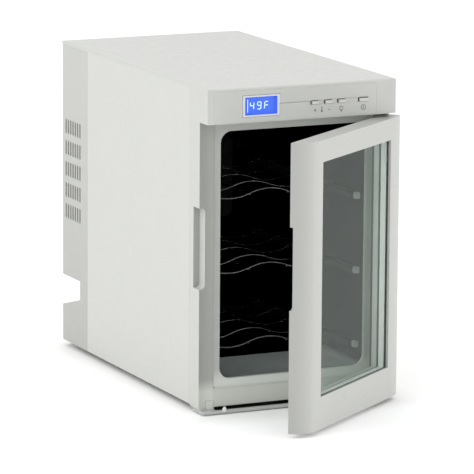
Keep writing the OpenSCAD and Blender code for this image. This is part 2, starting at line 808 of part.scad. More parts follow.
// Raised symbols under the buttons: plus, minus, lamp, power and thermometer
module button_symbols() {
    h = 0.25;
    line = 0.7;
    lamp_r = 2.8;
    power_r = 3.7;
    s = [for (x = symbol_x) fascia_x1 + x];
    color([0.35, 0.36, 0.36]) along_y(nose_y - h, nose_y) {
        translate([s[0], symbol_z]) {
            square([3.6, 1], center = true);
            square([1, 3.6], center = true);
        }
        translate([s[1], symbol_z]) square([3.6, line], center = true);
        translate([s[2], symbol_z + 0.6]) {
            symbol_ring(lamp_r, line);
            translate([0, -lamp_r - 0.6]) square([2, 1.8], center = true);
        }
        translate([s[3], symbol_z]) {
            symbol_ring(power_r, line);
            square([line, power_r], center = true);
        }
        translate([s[4], symbol_z + 1]) {
            translate([0, -2.6]) circle(r = 1.3, $fn = 32);
            translate([0, 0.6]) square([1.1, 6], center = true);
        }
    }
}

// Flat ring of radius r and the line's width
module symbol_ring(r, line) {
    difference() {
        circle(r = r, $fn = 48);
        circle(r = r - line, $fn = 48);
    }
}

// Pocket in the door's foot that passes over the stop peg
module peg_pocket(grow) {
    half = peg_r + 3 + grow;
    block([peg_x - half, peg_x + half], [peg_y - peg_r - 2 - grow, door_back + (grow > 0 ? 0 : 1)],
          [door_z0 - (grow > 0 ? 0 : 1), peg_top + 1 + grow]);
}

module door_outer_frame() {
    color(pale) swung() difference() {
        union() {
            difference() {
                union() {
                    difference() {
                        along_z(door_z0, door_z1) door_plan(0, door_back);
                        along_z(door_z0 + wall, door_z1 - wall) intersection() {
                            door_plan(wall, door_back + skin);
                            plate([door_x0, door_x1], [door_front + door_face_t, door_back + skin]);
                        }
                    }
                    // solid corners that hold the bushings
                    for (z = [[door_z0, door_z0 + corner_h], [door_z1 - corner_h, door_z1]])
                        along_z(z[0], z[1]) intersection() {
                            door_plan(0, door_back);
                            plate([door_x1 - corner_w, door_x1], [hinge[1] - 6, door_back]);
                        }
                    // lip that locates the panes
                    along_y(door_front + 1, unit_back) difference() {
                        plate([win_x[0] - pane_in - 2, win_x[1] + pane_in + 2],
                              [win_z[0] - pane_in - 2, win_z[1] + pane_in + 2]);
                        plate([win_x[0] - pane_in, win_x[1] + pane_in],
                              [win_z[0] - pane_in, win_z[1] + pane_in]);
                    }
                }
                along_y(door_front - 1, door_back + 1) plate(win_x, win_z);
                // seat of the back plate
                along_y(door_back - plate_t, door_back + 1) {
                    plate([door_x0 + wall, door_x1 - corner_w], [door_z0 + wall, door_z1 - wall]);
                    plate([door_x0 + wall, door_x1 - wall], [door_z0 + corner_h, door_z1 - corner_h]);
                }
            }
            // walls of the finger notch and of the peg pocket
            intersection() {
                along_y(door_back - notch_d - wall, door_back) grip_notch(wall);
                along_z(door_z0, door_z1) door_plan(0, door_back);
            }
            peg_pocket(wall);
        }
        along_y(door_back - notch_d, door_back + 1) grip_notch(0);
        peg_pocket(0);
        for (z = [door_z0 - 1, door_z1 - bush_h])
            translate([hinge[0], hinge[1], z]) cylinder(r = bush_r, h = bush_h + 1);
    }
}

// Flat ring that the gasket fills, drawn in by t on every side
module gasket_ring(t) {
    difference() {
        plate([-gasket_x + t, gasket_x - t], [gasket_z[0] + t, gasket_z[1] - t]);
        plate([-gasket_x + gasket_w - t, gasket_x - gasket_w + t],
              [gasket_z[0] + gasket_w - t, gasket_z[1] - gasket_w + t]);
    }
}

module door_inner_frame() {
    g = 0.15;
    color(pale_dark) swung() difference() {
        union() {
            along_y(door_back - plate_t, door_back) {
                plate([door_x0 + wall + g, door_x1 - corner_w - g],
                      [door_z0 + wall + g, door_z1 - wall - g]);
                plate([door_x1 - corner_w - 1, door_x1 - wall - g],
                      [door_z0 + corner_h + g, door_z1 - corner_h - g]);
            }
            // rim that presses the panes forward
            along_y(unit_back + 0.2, door_back)
                plate([win_x[0] - pane_in, win_x[1] + pane_in], [win_z[0] - pane_in, win_z[1] + pane_in]);
        }
        along_y(unit_back - 1, door_back + 1)
            plate([win_x[0] - 1, win_x[1] + 1], [win_z[0] - 1, win_z[1] + 1]);
        along_y(door_back - gasket_seat, door_back + 1) gasket_ring(0);
        along_y(door_back - notch_d - wall, door_back + 1) grip_notch(wall + g);
        peg_pocket(wall + g);
        peg_pocket(0);
    }
}

// A sheet that fills the pane seat, thick from y0 to y1, drawn in by t
module pane(y0, y1, t) {
    along_y(y0, y1) plate([win_x[0] - pane_in + t, win_x[1] + pane_in - t],
                          [win_z[0] - pane_in + t, win_z[1] + pane_in - t]);
}

module outer_pane() {
    color([0.8, 0.85, 0.85, 0.35]) swung() pane(pane1_y, pane1_y + pane_t, 0.2);
}

module inner_pane() {
    color([0.8, 0.85, 0.85, 0.35]) swung() pane(pane2_y, pane2_y + pane_t, 0.2);
}

module pane_spacer() {
    color(metal) swung() difference() {
        pane(pane1_y + pane_t, pane2_y, 0.4);
        pane(pane1_y, pane2_y + 1, pane_in - 0.6);
    }
}

module glazing_seal() {
    color(rubber) swung() difference() {
        pane(door_front + door_face_t, pane1_y, 0.2);
        pane(door_front, pane1_y + 1, pane_in + 0.8);
    }
}

module door_gasket() {
    color([0.6, 0.61, 0.6]) swung() along_y(door_back - gasket_seat, face_y + 0.2) gasket_ring(gasket_gap);
}

module door_bushings() {
    color([0.85, 0.85, 0.83]) swung() for (z = [door_z0, door_z1 - bush_h])
        translate([hinge[0], hinge[1], z]) difference() {
            cylinder(r = bush_r, h = bush_h);
            translate([0, 0, -1]) cylinder(r = pin_r + pin_gap, h = bush_h + 2);
        }
}

module upper_hinge_bracket() {
    color(metal) difference() {
        block([hinge[0] - bracket_reach, hinge[0] + rivet_r + 0.1],
              [hinge[1] - bracket_out, face_y - 0.2], [bracket_z, bracket_z + bracket_t]);
        translate([hinge[0], hinge[1], nose_z]) cylinder(r = pin_r + 0.02, h = 9);
        for (x = bracket_screws) translate([hinge[0] + x, hinge[1] - 5, nose_z])
            cylinder(r = bracket_screw_r + 0.4, h = 9);
    }
}

module upper_hinge_pin() {
    color(metal) translate([hinge[0], hinge[1], 0]) {
        translate([0, 0, door_z1 - bush_h + 1])
            cylinder(r = pin_r, h = bracket_z + 3 - door_z1 + bush_h - 1);
        translate([0, 0, door_z1 + 0.4]) cylinder(r = 3.6, h = door_top_gap - 0.4);
        translate([0, 0, bracket_z + bracket_t]) cylinder(r = rivet_r, h = 1.4);
    }
}

module lower_hinge_rail() {
    ends = half_w - 1 - rail_tube;
    zc = (rail_z[0] + rail_z[1]) / 2;
    color([0.75, 0.76, 0.75]) difference() {
        union() {
            block([-ends, ends], [rail_y[0] + rail_tube, rail_mid], rail_z);
            both_sides() block([lip_x - 1, ends], [rail_y[0] + rail_tube, rail_y[1]], rail_z);
            translate([-ends, rail_y[0] + rail_tube, zc]) rotate([0, 90, 0])
                cylinder(r = rail_tube, h = 2 * ends);
            both_sides() {
                translate([ends, rail_y[0] + rail_tube, zc]) sphere(r = rail_tube);
                bar_y(ends, zc, rail_tube, rail_y[0] + rail_tube, rail_y[1]);
            }
        }
        translate([hinge[0], hinge[1], 0]) cylinder(r = pin_r + 0.02, h = 9);
        translate([peg_x, peg_y, rail_z[1] - 1.2]) cylinder(r = peg_r + 0.02, h = 9);
    }
}

module lower_hinge_pin() {
    color(metal) translate([hinge[0], hinge[1], 0]) {
        translate([0, 0, rail_z[0] + 0.4]) cylinder(r = pin_r, h = door_z0 + bush_h - rail_z[0] - 1.8);
        translate([0, 0, rail_z[1]]) cylinder(r = 3.4, h = door_z0 - rail_z[1] - 0.2);
    }
}

module hinge_hole_blank() {
    gap = 0.2;
    color(pale_dark) along_y(face_y + 0.6, face_y + 5 - gap)
        soft_plate([blank_x[0] + gap, blank_x[1] - gap], [rail_z[1] + gap, blank_top - gap], 0.8);
}

module door_stop_peg() {
    color([0.9, 0.9, 0.9]) translate([peg_x, peg_y, 0]) {
        translate([0, 0, rail_z[1] - 1.2]) cylinder(r = peg_r, h = peg_top - rail_z[1] - 1.4);
        translate([0, 0, peg_top - 3.1]) cylinder(r1 = peg_r, r2 = peg_r - 1.2, h = 2.1);
        translate([0, 0, peg_top - 1.2]) cylinder(r = peg_r - 1.2, h = 1.2);
    }
}

module feet() {
    color(rubber) both_sides() for (y = [face_y + foot_front, rear_y - foot_rear])
        translate([half_w - foot_side, y, 0]) cylinder(r = foot_r, h = foot_h);
}

// Finned heat sink: base from y0 to y0 + t, fins on to y1; fins may point either way
module fin_sink(w, h, y0, t, y1, fins) {
    base = y1 > y0 ? [y0, y0 + t] : [y0 - t, y0];
    comb = y1 > y0 ? [y0 + t - eps, y1] : [y1, y0 - t + eps];
    block([-w / 2, w / 2], base, [tec_z - h / 2, tec_z + h / 2]);
    for (i = [0:fins - 1]) {
        x = -w / 2 + i * (w - 1.4) / (fins - 1);
        block([x, x + 1.4], comb, [tec_z - h / 2, tec_z + h / 2]);
    }
}

module cold_sink() {
    color(metal) fin_sink(94, 94, pocket_y, 5, cav_y + 1, 15);
}

module cold_block() {
    h = tec_w / 2 - 0.2;
    color(metal) block([-h, h], [pocket_y, tec_y], [tec_z - h, tec_z + h]);
}

module thermoelectric_module() {
    h = tec_w / 2 - 0.5;
    color([0.93, 0.92, 0.88]) difference() {
        block([-h, h], [tec_y, sink_y], [tec_z - h, tec_z + h]);
        for (z = [-h - 1, h - 0.8])
            block([-h - 1, h + 1], [tec_y + 1, sink_y - 1], [tec_z + z, tec_z + z + 1.8]);
    }
}

module hot_sink() {
    color(metal) fin_sink(110, 100, sink_y, sink_base, hot_fan_y, 19);
}

module fan_frame(w, depth) {
    hub = w * 0.19;
    bore = w / 2 - 1.6;
    difference() {
        union() {
            difference() {
                translate([-w / 2, 0, -w / 2]) cube([w, depth, w]);
                translate([0, -1, 0]) rotate([-90, 0, 0]) cylinder(r = bore, h = depth + 2, $fn = 96);
            }
            rotate([-90, 0, 0]) cylinder(r = hub, h = 2);
            for (a = [45, 135]) rotate([0, a, 0]) translate([-bore - 1, 0, -2]) cube([2 * bore + 2, 2, 4]);
            rotate([-90, 0, 0]) cylinder(r = 1.5, h = depth - 2);
        }
        for (x = [-1, 1], z = [-1, 1]) translate([x * (w / 2 - 4.2), -1, z * (w / 2 - 4.2)])
            rotate([-90, 0, 0]) cylinder(r = 1.9, h = depth + 2);
    }
}

module fan_rotor(w, depth) {
    hub = w * 0.19;
    tip = w / 2 - 2.8;
    blades = 7;
    difference() {
        union() {
            translate([0, 2.6, 0]) rotate([-90, 0, 0]) cylinder(r = hub, h = depth - 3.4);
            intersection() {
                translate([0, 3, 0]) rotate([-90, 0, 0]) cylinder(r = tip, h = depth - 4.4, $fn = 96);
                for (i = [0:blades - 1]) rotate([0, i * 360 / blades, 0])
                    translate([hub - 1, depth / 2, 0]) rotate([38, 0, 0])
                        translate([0, -0.8, -depth * 0.55]) cube([tip - hub + 2, 1.6, depth * 1.1]);
            }
        }
        rotate([-90, 0, 0]) cylinder(r = 1.5 + pin_gap, h = depth - 1.6);
    }
}

module cold_fan_frame() {
    color(black) translate([0, cold_fan_y, tec_z]) fan_frame(cold_fan_w, cold_fan_d);
}

module cold_fan_rotor() {
    color([0.1, 0.1, 0.1]) translate([0, cold_fan_y, tec_z]) fan_rotor(cold_fan_w, cold_fan_d);
}

module hot_fan_frame() {
    color(black) translate([0, hot_fan_y, tec_z]) fan_frame(hot_fan_w, hot_fan_d);
}

module hot_fan_rotor() {
    color([0.1, 0.1, 0.1]) translate([0, hot_fan_y, tec_z]) fan_rotor(hot_fan_w, hot_fan_d);
}

module cold_fan_cover() {
    half = pocket_half + 6;
    y = [cold_fan_y - 9, cav_y];
    color(black) difference() {
        along_y(y[0], y[1]) soft_plate([-half, half], [tec_z - half, tec_z + half], 10);
        along_y(y[0] + 2.2, y[1] + 1)
            soft_plate([-half + 2, half - 2], [tec_z - half + 2, tec_z + half - 2], 8);
        along_y(y[0] - 1, y[0] + 4) translate([0, tec_z]) fan_grille(cold_fan_w / 2 - 2, 6.5, 3.6);
        for (s = [-1, 1], i = [-4:4]) block(s > 0 ? [half - 3, half + 1] : [-half - 1, -half + 3],
            [y[0] + 8, y[1] - 5], [tec_z + i * 10 - 2, tec_z + i * 10 + 2]);
    }
}

module power_board() {
    x = [-104, -4];
    z = [recess_z + 14, recess_z + 70];
    y = box_y + 6;
    color([0.1, 0.4, 0.2]) union() {
        block(x, [y, y + 1.6], z);
        block([x[0] + 8, x[0] + 38], [y + 1.5, y + 26], [z[0] + 8, z[0] + 36]);
        for (i = [0, 1]) bar_y(x[0] + 52 + i * 17, z[0] + 16, 7, y + 1.5, y + 24);
        block([x[0] + 46, x[0] + 90], [y + 1.5, y + 14], [z[0] + 34, z[0] + 44]);
        for (p = [x[0] + 4, x[1] - 4], q = [z[0] + 4, z[1] - 4]) bar_y(p, q, 2.5, box_y, y + 0.5);
    }
}

module mains_inlet() {
    wy = recess_y;
    half = inlet_w / 2 - inlet_wall;
    tall = inlet_h / 2 - inlet_wall;
    color(black) difference() {
        union() {
            block(span(inlet_x, inlet_w), [wy - 19, wy], span(inlet_z, inlet_h));
            along_y(wy, wy + 2.5)
                soft_plate(span(inlet_x, inlet_w + 6), span(inlet_z, inlet_h + 4), 3);
        }
        along_y(wy - 15.5, wy + 3) difference() {
            plate([inlet_x - half, inlet_x + half], [inlet_z - tall, inlet_z + tall]);
            for (s = [-1, 1]) translate([inlet_x + s * half, inlet_z + tall]) rotate(45)
                square(6, center = true);
        }
        for (b = blade_spots) block([b[0] - 1.1, b[0] + 1.1], [wy - 20, wy], [b[1] - 2.1, b[1] + 2.1]);
    }
}

module inlet_blades() {
    color(metal) for (b = blade_spots)
        block([b[0] - 1, b[0] + 1], [recess_y - 23, recess_y - 3], [b[1] - 2, b[1] + 2]);
}

module lamp_board() {
    color([0.9, 0.9, 0.9]) union() {
        block([-lamp_half + 1, lamp_half - 1], [lamp_y + 1, lamp_y + lamp_d - 1],
              [cav_z1 + 2, cav_z1 + 2.9]);
        for (i = [-2:2]) block([i * 11 - 1.5, i * 11 + 1.5], [lamp_y + 5, lamp_y + 9],
                               [cav_z1 + 1.2, cav_z1 + 2.1]);
    }
}

module lamp_lens() {
    color([0.9, 0.95, 1, 0.5]) union() {
        block([-lamp_half + 0.2, lamp_half - 0.2], [lamp_y + 0.2, lamp_y + lamp_d - 0.2],
              [cav_z1 - 0.5, cav_z1 + 1]);
        along_y(lamp_y - 2, lamp_y + lamp_d + 2)
            soft_plate([-lamp_half - 2, lamp_half + 2], [cav_z1 - 2, cav_z1], 0.9);
    }
}

module temperature_sensor() {
    tip_y = cav_y - 14;
    color([0.85, 0.85, 0.85]) union() {
        bar_y(sensor_x, sensor_z, 4, cav_y - 2, cav_y);
        bar_y(sensor_x, sensor_z, sensor_r, tip_y, cav_y + 6);
        translate([sensor_x, tip_y, sensor_z]) sphere(r = sensor_r);
    }
}

front_frame();
mouth_surround();
top_panel();
left_side_panel();
right_side_panel();
base_pan();
rear_bulkhead();
rear_cover();
foam_insulation();
cavity_liner();
rack_runners();
runner_end_caps();
upper_rack();
middle_rack();
lower_rack();
control_fascia();
display_bezel();
display_panel();
display_window();
control_board();
tact_switches();
temp_up_button();
temp_down_button();
light_button();
power_button();
button_symbols();
door_outer_frame();
door_inner_frame();
outer_pane();
inner_pane();
pane_spacer();
glazing_seal();
door_gasket();
door_bushings();
upper_hinge_bracket();
upper_hinge_pin();
lower_hinge_rail();
lower_hinge_pin();
hinge_hole_blank();
door_stop_peg();
feet();
cold_sink();
cold_block();
thermoelectric_module();
hot_sink();
cold_fan_frame();
cold_fan_rotor();
cold_fan_cover();
hot_fan_frame();
hot_fan_rotor();
power_board();
mains_inlet();
inlet_blades();
lamp_board();
lamp_lens();
temperature_sensor();
rear_cover_screws();
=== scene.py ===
import json
import math

import bpy
from mathutils import Matrix, Vector


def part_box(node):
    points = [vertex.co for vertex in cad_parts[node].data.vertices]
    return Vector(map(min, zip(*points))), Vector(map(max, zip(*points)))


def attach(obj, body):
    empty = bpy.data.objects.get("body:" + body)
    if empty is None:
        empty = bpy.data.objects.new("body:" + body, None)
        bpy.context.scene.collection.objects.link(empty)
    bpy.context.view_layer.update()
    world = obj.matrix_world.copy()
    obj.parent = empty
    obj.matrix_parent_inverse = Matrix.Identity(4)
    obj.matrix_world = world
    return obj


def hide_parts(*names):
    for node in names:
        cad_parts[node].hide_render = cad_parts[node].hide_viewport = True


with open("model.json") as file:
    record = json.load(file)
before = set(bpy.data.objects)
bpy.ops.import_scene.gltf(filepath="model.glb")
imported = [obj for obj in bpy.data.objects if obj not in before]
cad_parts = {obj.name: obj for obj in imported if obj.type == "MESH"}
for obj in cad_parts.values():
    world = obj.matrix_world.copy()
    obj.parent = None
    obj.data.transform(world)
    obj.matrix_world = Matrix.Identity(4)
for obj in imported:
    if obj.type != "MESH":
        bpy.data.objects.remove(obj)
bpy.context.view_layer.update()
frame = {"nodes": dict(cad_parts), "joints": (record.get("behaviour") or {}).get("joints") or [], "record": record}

NODES = frame["nodes"]
HINGE = next(j for j in frame["joints"] if j["name"] == "door_hinge")
DOOR_TURN = -math.radians(HINGE["range_deg"][0])    # from shut to the door as shown
MM = 0.001

# Camera: where it stands, what it looks at, its small roll, and its lens in millimetres
CAMERA_AT = Vector((-2.2786, -4.8643, 1.2393))
CAMERA_AIM = Vector((-0.08432, -0.180, 0.24041))
CAMERA_ROLL = math.radians(0.41)
CAMERA_LENS = 297.69
CAMERA_SENSOR = 36.0
LIGHTS_AIM = Vector((0.0, 0.0, 0.25))

# Colours, as shares of red, green and blue
SHELL = (0.514, 0.521, 0.497)
SHELL_DIM = (0.470, 0.477, 0.453)
SHELL_WORN = (0.70, 0.70, 0.68)
MATT_WORN = (0.62, 0.62, 0.60)
DOOR_SHELL = (0.530, 0.537, 0.513)
# painted shade on the door's top and its rounded free end
DOOR_SHADE = (0.37, 0.376, 0.358)
# painted shade on the frame's face under the housing
FRAME_SHADE = (0.325, 0.332, 0.308)
WHITE = (1.0, 1.0, 1.0)

WORN_EDGE = 0.0009          # how far the wear reaches in from an edge
GRAZING_GLOSS = 0.36        # share of light that a clear sheet mirrors at a grazing angle
SURFACE_IOR = 1.45
PAINTED_LIGHT_DEPTH = 0.115          # how far the painted light on the cavity floor reaches in from the mouth
HOUSING_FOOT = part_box("control_fascia")[0].z - 0.0012   # height where the housing ends


# ---------------------------------------------------------------- materials

def fresh(name):
    """A new node material with its Principled shader wired to the output."""
    mat = bpy.data.materials.new(name)
    mat.use_nodes = True
    tree = mat.node_tree
    tree.nodes.clear()
    out = tree.nodes.new("ShaderNodeOutputMaterial")
    shader = tree.nodes.new("ShaderNodeBsdfPrincipled")
    tree.links.new(shader.outputs["BSDF"], out.inputs["Surface"])
    return mat, tree, shader, out


def noise(tree, coords, scale, detail=3.0, rough=0.55):
    """A noise field in metres: scale is features per metre."""
    n = tree.nodes.new("ShaderNodeTexNoise")
    n.inputs["Scale"].default_value = scale
    n.inputs["Detail"].default_value = detail
    n.inputs["Roughness"].default_value = rough
    tree.links.new(coords, n.inputs["Vector"])
    return n.outputs["Fac"]


def remap(tree, value, low, high, to_low, to_high):
    """Takes the span from low to high onto the span from to_low to to_high, clamped."""
    m = tree.nodes.new("ShaderNodeMapRange")
    m.inputs["From Min"].default_value = low
    m.inputs["From Max"].default_value = high
    m.inputs["To Min"].default_value = to_low
    m.inputs["To Max"].default_value = to_high
    tree.links.new(value, m.inputs["Value"])
    return m.outputs["Result"]


def blend_colour(tree, share, first, second, mode="MIX"):
    """Mixes two colours, each a tuple or an output, by share, a number or an output."""
    m = tree.nodes.new("ShaderNodeMix")
    m.data_type = "RGBA"
    m.blend_type = mode
    if isinstance(share, float):
        m.inputs["Factor"].default_value = share
    else:
        tree.links.new(share, m.inputs["Factor"])
    for socket, value in ((m.inputs[6], first), (m.inputs[7], second)):
        if isinstance(value, tuple):
            socket.default_value = (*value, 1.0)
        else:
            tree.links.new(value, socket)
    return m.outputs[2]


def calculate(tree, operation, first, second):
    """A Math node on an output and a second value, an output or a number."""
    m = tree.nodes.new("ShaderNodeMath")
    m.operation = operation
    tree.links.new(first, m.inputs[0])
    if isinstance(second, float):
        m.inputs[1].default_value = second
    else:
        tree.links.new(second, m.inputs[1])
    return m.outputs[0]


def tint(colour, by):
    """The colour made lighter or darker, each channel kept between 0 and 1."""
    return tuple(min(1.0, max(0.0, c * by)) for c in colour)


def coordinates(tree, stretch=(1.0, 1.0, 1.0)):
    """Object coordinates, squeezed along an axis where a finish runs along it."""
    tc = tree.nodes.new("ShaderNodeTexCoord")
    mp = tree.nodes.new("ShaderNodeMapping")
    mp.inputs["Scale"].default_value = stretch
    tree.links.new(tc.outputs["Object"], mp.inputs["Vector"])
    return mp.outputs["Vector"]


def split_axes(tree, vector):
    """The X, Y and Z outputs of a vector."""
    split = tree.nodes.new("ShaderNodeSeparateXYZ")
    tree.links.new(vector, split.inputs["Vector"])
    return split.outputs


def facing_axes(tree):
    """The X, Y and Z of the way the surface faces."""
    geo = tree.nodes.new("ShaderNodeNewGeometry")
    return split_axes(tree, geo.outputs["Normal"])


def front_plane(tree, axes):
    """X and Z as a flat pair, for a pattern drawn on the front."""
    turned = tree.nodes.new("ShaderNodeCombineXYZ")
    tree.links.new(axes["X"], turned.inputs["X"])
    tree.links.new(axes["Z"], turned.inputs["Y"])
    return turned.outputs["Vector"]


def add_relief(tree, shader, height, strength, distance):
    """Bump from a height field, distance metres high."""
    relief = tree.nodes.new("ShaderNodeBump")
    relief.inputs["Strength"].default_value = strength
    relief.inputs["Distance"].default_value = distance
    tree.links.new(height, relief.inputs["Height"])
    tree.links.new(relief.outputs["Normal"], shader.inputs["Normal"])


def reopen(mat):
    """A finished material's tree, its Principled shader and what feeds its colour."""
    tree = mat.node_tree
    shader = next(n for n in tree.nodes if n.type == "BSDF_PRINCIPLED")
    return tree, shader, shader.inputs["Base Color"].links[0].from_socket


def edge_mask(tree, radius):
    """1 along the part's edges, fading to 0 within radius of them."""
    bevel = tree.nodes.new("ShaderNodeBevel")
    bevel.samples = 4
    bevel.inputs["Radius"].default_value = radius
    geo = tree.nodes.new("ShaderNodeNewGeometry")
    dot = tree.nodes.new("ShaderNodeVectorMath")
    dot.operation = "DOT_PRODUCT"
    tree.links.new(bevel.outputs["Normal"], dot.inputs[0])
    tree.links.new(geo.outputs["Normal"], dot.inputs[1])
    return remap(tree, dot.outputs["Value"], 0.995, 0.85, 0.0, 1.0)


def surface(name, colour, rough, grain=900.0, depth=0.00004, bump=0.25, mottle=0.035,
            blotch=14.0, rough_spread=0.08, wear=0.0, wear_to=None, metallic=0.0,
            specular=0.5, coat=0.0, coat_rough=0.2, sheen=0.0, stretch=(1.0, 1.0, 1.0),
            painted_shading_by_height=None):
    """A moulded, painted, cast or drawn surface: blotches, grain, sheen and worn edges.

    grain is fine features per metre, depth their height, blotch the large patches.
    The last argument is (low z, high z, what the colour is multiplied by at low z and below): painted shade by
    height, or painted light where that number is above 1.
    """
    mat, tree, shader, _ = fresh(name)
    even = coordinates(tree)
    drawn = coordinates(tree, stretch)
    patches = noise(tree, even, blotch, 4.0, 0.6)
    fine = noise(tree, drawn, grain, 2.5, 0.6)
    paint = blend_colour(tree, remap(tree, patches, 0.3, 0.7, 0.0, 1.0),
                         tint(colour, 1.0 - mottle), tint(colour, 1.0 + mottle))
    speck = blend_colour(tree, remap(tree, fine, 0.35, 0.65, 0.0, 1.0),
                         tint(colour, 1.0 - mottle * 0.8), tint(colour, 1.0 + mottle * 0.8))
    base = blend_colour(tree, 0.4, paint, speck)
    # painted shade or painted light: the colour darkens or lightens towards the bottom
    if painted_shading_by_height:
        low, high, share = painted_shading_by_height
        painted_shading = remap(tree, split_axes(tree, even)["Z"], low, high, 1.0, 0.0)
        base = blend_colour(tree, painted_shading, base, (share, share, share), "MULTIPLY")
    if wear:
        torn = remap(tree, noise(tree, even, 160.0, 4.0, 0.7), 0.4, 0.7, 0.0, wear)
        worn = calculate(tree, "MULTIPLY", edge_mask(tree, WORN_EDGE), torn)
        base = blend_colour(tree, worn, base, wear_to or tint(colour, 1.25))
    tree.links.new(base, shader.inputs["Base Color"])
    scuff = noise(tree, drawn, blotch * 7.0, 5.0, 0.65)
    tree.links.new(remap(tree, scuff, 0.3, 0.7, max(0.02, rough - rough_spread),
                         min(1.0, rough + rough_spread)), shader.inputs["Roughness"])
    add_relief(tree, shader, fine, bump, depth)
    shader.inputs["Metallic"].default_value = metallic
    shader.inputs["Specular IOR Level"].default_value = specular
    shader.inputs["IOR"].default_value = SURFACE_IOR
    shader.inputs["Coat Weight"].default_value = coat
    shader.inputs["Coat Roughness"].default_value = coat_rough
    shader.inputs["Sheen Weight"].default_value = sheen
    return mat


def clear_sheet(name, through, rough, smudge, gloss):
    """Thin clear sheet: sees straight through, with a fresnel gloss and faint smears."""
    mat, tree, shader, out = fresh(name)
    tree.nodes.remove(shader)
    even = coordinates(tree)
    passes = tree.nodes.new("ShaderNodeBsdfTransparent")
    smear = noise(tree, even, 9.0, 5.0, 0.6)
    tone = blend_colour(tree, remap(tree, smear, 0.35, 0.7, 0.0, 1.0),
                        through, tint(through, 1.0 - smudge))
    tree.links.new(tone, passes.inputs["Color"])
    shine = tree.nodes.new("ShaderNodeBsdfGlossy")
    shine.inputs["Color"].default_value = (0.96, 0.98, 0.97, 1.0)
    tree.links.new(remap(tree, smear, 0.3, 0.7, rough, rough * 2.5), shine.inputs["Roughness"])
    # Schlick's curve, which is the same on the front and the back of the sheet
    slant = tree.nodes.new("ShaderNodeLayerWeight")
    slant.inputs["Blend"].default_value = 0.5
    curve = calculate(tree, "POWER", slant.outputs["Facing"], 5.0)
    mix = tree.nodes.new("ShaderNodeMixShader")
    tree.links.new(remap(tree, curve, 0.0, 1.0, gloss, GRAZING_GLOSS), mix.inputs["Fac"])
    tree.links.new(passes.outputs["BSDF"], mix.inputs[1])
    tree.links.new(shine.outputs["BSDF"], mix.inputs[2])
    tree.links.new(mix.outputs["Shader"], out.inputs["Surface"])
    return mat


def backlit(name, colour, glow, edge_in, low, high):
    """A backlit panel that dims a little towards its left end, with a faint cell grid."""
    mat, tree, shader, _ = fresh(name)
    axes = split_axes(tree, coordinates(tree))
    span = high.x - low.x
    left = remap(tree, axes["X"], low.x, low.x + span * edge_in, 0.85, 1.0)
    cells = tree.nodes.new("ShaderNodeTexBrick")
    cells.offset = 0.0
    cells.inputs["Scale"].default_value = 900.0
    cells.inputs["Mortar Size"].default_value = 0.03
    tree.links.new(front_plane(tree, axes), cells.inputs["Vector"])
    cells.inputs["Color1"].default_value = (*colour, 1.0)
    cells.inputs["Color2"].default_value = (*tint(colour, 0.97), 1.0)
    cells.inputs["Mortar"].default_value = (*tint(colour, 0.9), 1.0)
    tree.links.new(cells.outputs["Color"], shader.inputs["Base Color"])
    tree.links.new(cells.outputs["Color"], shader.inputs["Emission Color"])
    tree.links.new(calculate(tree, "MULTIPLY", left, glow), shader.inputs["Emission Strength"])
    shader.inputs["Roughness"].default_value = 0.35
    return mat


def cavity_black(name):
    """Dark liner whose floor's first stretch in from the mouth is painted pale, as painted light falling in."""
    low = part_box("cavity_liner")[0]
    dark = (0.0007, 0.0007, 0.0008)
    painted_light_front = (0.17, 0.187, 0.186)
    painted_light_back = (0.54, 0.585, 0.585)
    mat, tree, shader, _ = fresh(name)
    even = coordinates(tree)
    axes = split_axes(tree, even)
    # painted light: the floor's first stretch is painted pale, paler further in
    painted_light_end = low.y + PAINTED_LIGHT_DEPTH
    near = remap(tree, axes["Y"], painted_light_end + 0.0005, painted_light_end - 0.0005, 0.0, 1.0)
    flat = remap(tree, facing_axes(tree)["Z"], 0.55, 0.95, 0.0, 1.0)
    down = remap(tree, axes["Z"], low.z + 0.014, low.z + 0.006, 0.0, 1.0)
    share = calculate(tree, "MULTIPLY", calculate(tree, "MULTIPLY", near, flat), down)
    inward = remap(tree, axes["Y"], low.y, painted_light_end, 0.0, 1.0)
    painted_light = blend_colour(tree, inward, painted_light_front, painted_light_back)
    tree.links.new(blend_colour(tree, share, dark, painted_light), shader.inputs["Base Color"])
    grain = noise(tree, even, 1200.0, 2.0)
    add_relief(tree, shader, grain, 0.3, 0.00005)
    tree.links.new(remap(tree, grain, 0.3, 0.7, 0.45, 0.65), shader.inputs["Roughness"])
    shader.inputs["Specular IOR Level"].default_value = 0.004
    return mat


def frame_shell(name):
    """The front frame: shell plastic, with painted shade on its face round the mouth under the housing, lighter
    below the mouth.
    """
    mouth_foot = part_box("mouth_surround")[0].z
    mat = surface(name, SHELL, 0.42, grain=1100.0, bump=0.25, mottle=0.014, wear=0.4,
                  wear_to=MATT_WORN)
    tree, shader, was = reopen(mat)
    z = split_axes(tree, coordinates(tree))["Z"]
    # painted shade: the face under the housing is darkened, less so below the mouth
    front = remap(tree, facing_axes(tree)["Y"], -0.35, -0.6, 0.0, 1.0)
    under = remap(tree, z, HOUSING_FOOT + 0.0005, HOUSING_FOOT - 0.0005, 0.0, 1.0)
    share = calculate(tree, "MULTIPLY", front, under)
    lower = remap(tree, z, mouth_foot + 0.012, mouth_foot - 0.004, 0.0, 1.0)
    face = blend_colour(tree, lower, FRAME_SHADE, tint(FRAME_SHADE, 1.68))
    tree.links.new(blend_colour(tree, share, was, face), shader.inputs["Base Color"])
    return mat


